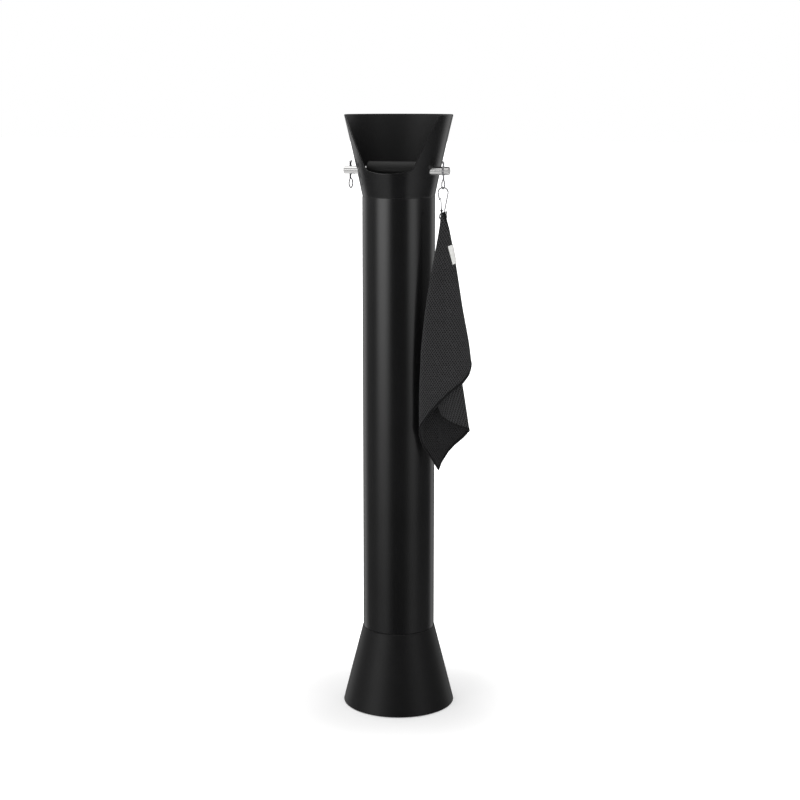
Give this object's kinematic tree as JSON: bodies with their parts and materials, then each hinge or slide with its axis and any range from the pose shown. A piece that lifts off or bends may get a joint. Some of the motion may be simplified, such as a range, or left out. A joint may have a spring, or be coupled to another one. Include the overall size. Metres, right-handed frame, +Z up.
{
  "type": "coffee knock box",
  "caption": "Floor-standing knock box: flared funnel with a padded knock bar on a tall tube over a weighted base, with a towel on a snap hook.",
  "frame": {"origin": "on the floor at the tube's axis, in the middle of the rubber foot", "axes": "+Z up along the tube, -Y the side that the scoop opens to, +X along the knock bar towards the towel"},
  "size_m": [0.205, 0.169, 0.895],
  "materials": {
    "satin_black_shell": "satin black moulding",
    "satin_black_tube": "satin black tube",
    "seal_rubber": "black rubber ring",
    "cast_iron": "rough casting",
    "zinc_steel": "zinc plated",
    "black_steel": "black coated sheet",
    "foot_rubber": "matt rubber sheet",
    "stainless_bar": "turned and polished along its length",
    "sleeve_rubber": "smooth black rubber",
    "bright_wire": "bright drawn wire",
    "black_waffle_cloth": "black waffle weave",
    "black_cord": "black cord",
    "white_tape": "plain white sewn tape"
  },
  "bodies": {
    "base": {"base_shell": "satin_black_shell", "base_seal": "seal_rubber", "cast_weight": "cast_iron", "weight_bolt": "zinc_steel", "bottom_plate": "black_steel", "plate_screws": "zinc_steel", "rubber_foot": "foot_rubber"},
    "tube": {"tube": "satin_black_tube"},
    "funnel": {"funnel": "satin_black_shell", "funnel_seal": "seal_rubber"},
    "bar": {"knock_bar": "stainless_bar"},
    "sleeve": {"bar_sleeve": "sleeve_rubber"},
    "left_pin": {"left_hitch_pin": "bright_wire"},
    "right_pin": {"right_hitch_pin": "bright_wire"},
    "hook": {"snap_hook": "bright_wire", "gate_rivet": "bright_wire"},
    "gate": {"hook_gate": "bright_wire"},
    "hung_towel": {"towel": "black_waffle_cloth", "towel_loop": "black_cord", "towel_tag": "white_tape"}
  },
  "joints": [
    {"name": "tube_lift", "type": "slide", "parent": "base", "child": "tube", "axis": [0, 0, 1], "range_m": [0, 0.05]},
    {"name": "funnel_lift", "type": "slide", "parent": "tube", "child": "funnel", "axis": [0, 0, 1], "range_m": [0, 0.05]},
    {"name": "bar_shift", "type": "slide", "parent": "funnel", "child": "bar", "axis": [1, 0, 0], "range_m": [-0.007, 0.001]},
    {"name": "sleeve_turn", "type": "hinge", "parent": "bar", "child": "sleeve", "pos_m": [0, -0.022, 0.8143], "axis": [1, 0, 0], "continuous": true},
    {"name": "left_pin_pull", "type": "slide", "parent": "bar", "child": "left_pin", "axis": [0, 0, -1], "range_m": [0, 0.022], "deforming": ["left_hitch_pin"]},
    {"name": "right_pin_pull", "type": "slide", "parent": "bar", "child": "right_pin", "axis": [0, 0, -1], "range_m": [0, 0.022], "deforming": ["right_hitch_pin"]},
    {"name": "hook_swing", "type": "hinge", "parent": "right_pin", "child": "hook", "pos_m": [0.07405, -0.025, 0.7883], "axis": [-0.0523, -0.9986, 0], "range_deg": [0, 45]},
    {"name": "gate_turn", "type": "hinge", "parent": "hook", "child": "gate", "pos_m": [0.07193, -0.0256, 0.75733], "axis": [-0.2756, 0.9613, 0], "range_deg": [0, 20], "stiffness_Nm_per_rad": 0.0005, "springref_deg": -17.19},
    {"name": "towel_swing", "type": "hinge", "parent": "hook", "child": "hung_towel", "pos_m": [0.07405, -0.025, 0.7486], "axis": [0.2756, -0.9613, 0], "range_deg": [0, 45]}
  ]
}
